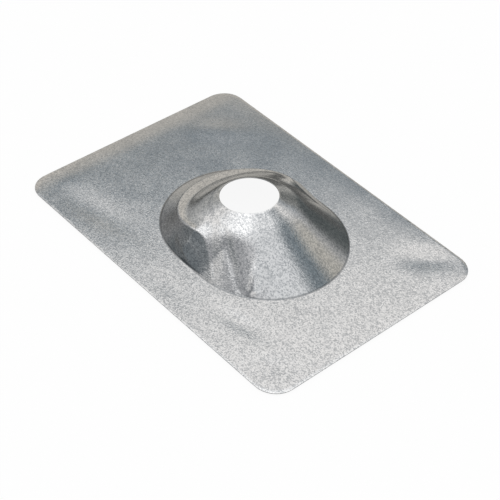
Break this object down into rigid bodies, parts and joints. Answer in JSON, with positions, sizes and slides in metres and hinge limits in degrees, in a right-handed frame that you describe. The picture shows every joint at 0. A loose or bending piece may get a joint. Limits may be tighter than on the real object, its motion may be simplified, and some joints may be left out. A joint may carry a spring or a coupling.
{
  "type": "pipe flashing boot",
  "caption": "Flat sheet-metal roof flashing with rounded corners and an oblong drawn boss that rises to a round, slightly tilted pipe hole.",
  "frame": {"origin": "middle of the sheet's underside, below the centre of the pipe hole", "axes": "+X along the sheet's length, down the roof slope; +Y across the roof; +Z square to the sheet, up through the boss"},
  "size_m": [0.3174, 0.2286, 0.0374],
  "materials": {
    "galvanised_steel": "galvanised, fine-grained, satin"
  },
  "bodies": {
    "root": {"flashing_sheet": "galvanised_steel"}
  },
  "joints": []
}
